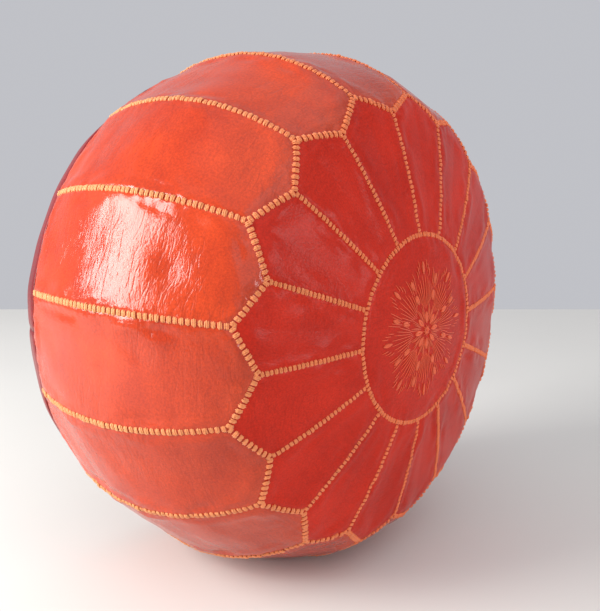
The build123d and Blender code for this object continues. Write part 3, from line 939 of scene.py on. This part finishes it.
def needles(inner, outer, spread, bend, radius=0.00030, height=0.0008):
    """Fans of long thin stitches on both sides of a direction: arrays give where each starts and
    ends and the angle it starts at, and bend widens the angle towards the outer end."""
    parts = []
    for side in (-1, 1):
        parts.append(polar_stitches(inner, side * spread, outer, side * spread * bend, radius, height))
    return parts


rosette = []
half_fold = np.pi / FOLD
eye = np.array([0.0, half_fold])
eye_in, eye_out = np.array([0.001, 0.001]), np.array([0.0055, 0.004])
rosette.append(polar_stitches(eye_in, eye, eye_out, eye, 0.0004, 0.0011))
rosette += leaf(0.0075, 0.0185, 0.0, 0.0026, count=14)
rosette += needles(np.array([0.0085, 0.011, 0.014]), np.array([0.022, 0.026, 0.029]),
                   np.array([0.33, 0.27, 0.20]), 1.0)
rosette += needles(np.array([0.020, 0.022, 0.024, 0.026, 0.029]),
                   np.array([0.056, 0.053, 0.049, 0.045, 0.041]),
                   np.array([0.03, 0.09, 0.15, 0.22, 0.29]), np.array([1.6, 1.5, 1.4, 1.3, 1.2]))
rosette += leaf(0.030, 0.040, half_fold, 0.0022, count=12)
rosette += leaf(0.055, 0.067, 0.0, 0.0018, count=13)
rosette += leaf(0.046, 0.056, half_fold, 0.0018, count=11)
rosette += needles(np.array([0.052, 0.056, 0.060]), np.array([0.061, 0.065, 0.069]),
                   np.array([0.17, 0.13, 0.09]), np.array([1.05, 1.05, 1.05]))
rosette += needles(np.array([0.040, 0.043]), np.array([0.058, 0.062]), np.array([0.36, 0.31]), 0.95)
thread_piece("medallion_embroidery", rosette, embroidery_thread,
             ["medallion_embroidery"])

# %% [markdown]
# ## Topstitching at the zip
#
# The folded edges are held to the tape by a row of machine stitches that goes round the slot.

# %% Topstitching
STITCH, STITCH_GAP, INSET = 0.0030, 0.0013, 0.0042
run = np.arange(SLOT_FAR, SLOT_NEAR - STITCH, STITCH + STITCH_GAP)
ends = np.stack([run, run + STITCH], -1)
seam_z = np.concatenate([np.full(len(run), s * (SLOT_HALF + INSET)) for s in (-1, 1)])
seam_y = np.concatenate([ends, ends])
a = np.linspace(0, 1, ACROSS)
lines = on_base(seam_y[:, :1] + (seam_y[:, 1:] - seam_y[:, :1]) * a, seam_z[:, None] + 0 * a)
lines[..., 0] -= 0.00035 * (1 - np.abs(2 * a - 1) ** 4) - 0.0002
ups = np.zeros_like(lines)
ups[..., 0] = -1.0
topstitch = thread_mesh(lines, ups, np.full(lines.shape[:2], 0.00032))
thread_piece("zip_topstitching", [topstitch], braid_thread)

# %% [markdown]
# ## End patches
#
# A small patch of leather is sewn over the tapes past each end of the teeth, so that the stuffing
# cannot work its way out there.

# %% Zip end patches
TAPE_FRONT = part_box("zip_tape_upper")[0].x
STOP_NEAR, STOP_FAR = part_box("zip_top_stops")[1].y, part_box("zip_bottom_stop")[0].y
PATCH_THICK, PATCH_GAP = 0.0011, 0.0020


def end_patch(name, first_y, last_y, rows=16, columns=24):
    """Cushioned rectangle over both tapes: it swells by the product of two soft humps."""
    share_y, share_z = np.meshgrid(crowded(columns), crowded(rows))
    hump = (np.sin(np.pi * share_y) * np.sin(np.pi * share_z)) ** 0.4
    y = first_y + (last_y - first_y) * share_y
    z = AXIS_Z + (SLOT_HALF - 0.0006) * (2 * share_z - 1)
    points = np.stack([TAPE_FRONT - 0.0003 - PATCH_THICK * hump, y, z], -1)
    faces = outward(points, grid_faces(rows, columns))
    piece = make_piece(name, points, faces, base_leather, uv=points[..., 1:])
    thicken(piece, 0.0002)
    return piece


end_patch("end_patch_far", SLOT_FAR + 0.0008, STOP_FAR - PATCH_GAP)
end_patch("end_patch_near", STOP_NEAR + PATCH_GAP, SLOT_NEAR - 0.0008)
print("patches past y", round(STOP_FAR, 4), "and", round(STOP_NEAR, 4))

# %% [markdown]
# ## The zip
#
# The zip comes from the CAD model as it is: its shapes are right, so only the finishes change.

# %% Finishes for the CAD nodes that stay
for piece in bpy.data.objects:
    if piece.type == "MESH" and piece.name.startswith("zip_") and piece.name != "zip_topstitching":
        finish = zip_tape if "tape" in piece.name else zip_brass
        if not piece.data.materials:
            piece.data.materials.append(finish)
        for number in range(len(piece.data.materials)):
            piece.data.materials[number] = finish
        print("finish on", piece.name, finish.name)

# %% [markdown]
# ## Floor and light
#
# A pale floor that ends a little behind the pouf, where an even pale sky takes over like a wall.
# One large soft window light stands high on the left, a small lamp and a weak fill on the right.

# %% Stage
def plane(name, corners, material):
    """One flat face that belongs to the stage."""
    mesh = bpy.data.meshes.new(name)
    mesh.from_pydata([list(map(float, c)) for c in corners], [], [(0, 1, 2, 3)])
    mesh.materials.append(material)
    flat = bpy.data.objects.new(name, mesh)
    bpy.context.scene.collection.objects.link(flat)
    return flat


def matt(name, colour, uneven):
    """Matt paint with slow noise in its shade."""
    material, tree, shader = new_material(name)
    noise = put(tree, "TexNoise", Vector=put(tree, "TexCoord").outputs["Object"], Scale=3.0, Detail=4.0)
    low = tuple(c * (1 - uneven) for c in colour)
    tint = put(tree, "MixRGB", Fac=noise.outputs["Fac"], Color1=(*low, 1), Color2=(*colour, 1))
    tree.links.new(tint.outputs[0], shader.inputs["Base Color"])
    shader.inputs["Roughness"].default_value = 0.8
    return material


FLOOR_HALF, FLOOR_BEHIND = 4.0, 1.25
back = np.array([-sight[0], -sight[1], 0]) / np.hypot(sight[0], sight[1])
far_edge = TARGET * [1, 1, 0] + back * FLOOR_BEHIND
near_edge = TARGET * [1, 1, 0] - back * FLOOR_HALF
aside = right * FLOOR_HALF
plane("floor", [near_edge - aside, near_edge + aside, far_edge + aside, far_edge - aside],
      matt("floor_paint", (0.73, 0.72, 0.69), 0.05))


def soft_light(name, direction, distance, size, power, colour):
    """Area light on a line from the pouf's middle, facing it: its axes come from the line."""
    data = bpy.data.lights.new(name, "AREA")
    data.shape, data.size, data.size_y = "RECTANGLE", size[0], size[1]
    data.energy, data.color = power, colour
    lamp = bpy.data.objects.new(name, data)
    bpy.context.scene.collection.objects.link(lamp)
    line = np.array(direction) / np.linalg.norm(direction)
    level = np.cross([0, 0, 1], line)
    level /= np.linalg.norm(level)
    matrix = np.eye(4)
    matrix[:3, 0], matrix[:3, 1], matrix[:3, 2] = level, np.cross(line, level), line
    matrix[:3, 3] = MIDDLE + line * distance
    lamp.matrix_world = matrix.T.tolist()
    return lamp


soft_light("window", (-0.47, -0.81, 0.38), 1.8, (0.98, 1.04), 48.0, (1.0, 0.98, 0.95))
soft_light("side_lamp", (0.97, 0.22, 0.12), 1.9, (0.38, 0.46), 5.0, (1.0, 1.0, 1.0))
soft_light("fill", (0.9, -0.35, 0.5), 3.0, (2.6, 2.6), 15.0, (0.95, 0.97, 1.0))
soft_light("ceiling", (0.35, -0.1, 1.0), 3.0, (4.0, 4.0), 24.0, (1.0, 0.99, 0.97))
world = bpy.data.worlds.new("sky")
world.use_nodes = True
sky = world.node_tree.nodes["Background"]
sky.inputs["Color"].default_value = (0.93, 0.94, 1.0, 1)
sky.inputs["Strength"].default_value = 0.57
bpy.context.scene.world = world
bpy.context.scene.view_settings.view_transform = "Standard"
print("lights", len(bpy.data.lights))
